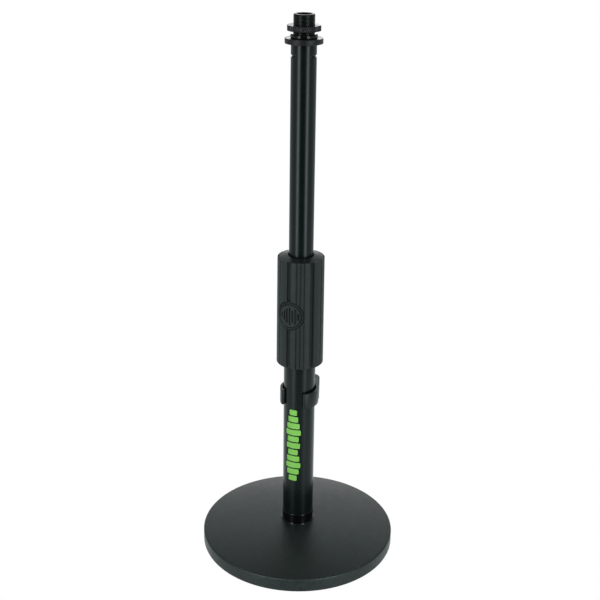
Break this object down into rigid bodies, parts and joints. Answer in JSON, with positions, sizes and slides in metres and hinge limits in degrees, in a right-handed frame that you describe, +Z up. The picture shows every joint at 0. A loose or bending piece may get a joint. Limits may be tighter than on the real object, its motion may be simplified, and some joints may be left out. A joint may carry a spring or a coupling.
{
  "type": "desktop microphone stand",
  "caption": "Desktop microphone stand: weighted round base, telescoping tube with a fluted twist clutch, cable clip, and a threaded top stud with a knurled lock ring.",
  "frame": {"origin": "centre of the footprint, on the table, under the tube's axis", "axes": "+Z up along the tubes; -Y is the front, the side with the printed graphic and the clip's mouth"},
  "size_m": [0.16, 0.16, 0.4398],
  "materials": {
    "powder_coat": "black fine-texture powder coat",
    "tube_paint": "black semi-gloss paint",
    "black_plate": "black plated steel, satin rims and bright faces",
    "zinc_steel": "bright zinc plate",
    "die_cast": "raw die-cast metal",
    "grip_rubber": "matt black moulded rubber",
    "pad_rubber": "matt black rubber",
    "hard_plastic": "matt black plastic",
    "nylon": "natural nylon",
    "clip_plastic": "satin black plastic",
    "green_ink": "green print"
  },
  "bodies": {
    "base": {"base_plate": "powder_coat", "base_pad": "pad_rubber", "base_bolt": "zinc_steel", "base_washer": "zinc_steel", "base_lock_washer": "zinc_steel", "foot_insert": "black_plate", "outer_tube": "tube_paint", "tube_print": "green_ink", "clutch_body": "die_cast", "clutch_pins": "zinc_steel", "clutch_collet": "nylon"},
    "clutch_press": {"thrust_washer": "zinc_steel"},
    "clutch_grip": {"grip_core": "hard_plastic", "grip_sleeve": "grip_rubber", "grip_cap": "hard_plastic"},
    "guide": {"tube_guide": "nylon"},
    "upper_stage": {"inner_tube": "tube_paint", "tube_plug": "nylon", "stop_ring": "zinc_steel", "top_stud": "black_plate", "collar_ring": "black_plate"},
    "lock_ring": {"lock_ring": "black_plate"},
    "cable_clip": {"cable_clip": "clip_plastic"}
  },
  "joints": [
    {"name": "height", "type": "slide", "parent": "base", "child": "guide", "axis": [0, 0, 1], "range_m": [-0.16, 0]},
    {"name": "upper_turn", "type": "hinge", "parent": "guide", "child": "upper_stage", "pos_m": [0, 0, 0.211], "axis": [0, 0, 1], "continuous": true},
    {"name": "clutch_rise", "type": "slide", "parent": "base", "child": "clutch_press", "axis": [0, 0, 1], "range_m": [0, 0.00076]},
    {"name": "clutch_twist", "type": "hinge", "parent": "clutch_press", "child": "clutch_grip", "pos_m": [0, 0, 0.211], "axis": [0, 0, 1], "range_deg": [0, 180]},
    {"name": "lock_ring_turn", "type": "hinge", "parent": "upper_stage", "child": "lock_ring", "pos_m": [0, 0, 0.4299], "axis": [0, 0, 1], "range_deg": [-842, 2717]},
    {"name": "clip_slide", "type": "slide", "parent": "base", "child": "cable_clip", "axis": [0, 0, 1], "range_m": [-0.1, 0.022]}
  ],
  "couplings": [
    {"joint": "clutch_rise", "follows": "clutch_twist", "m_per_rad": 0.00023873}
  ]
}
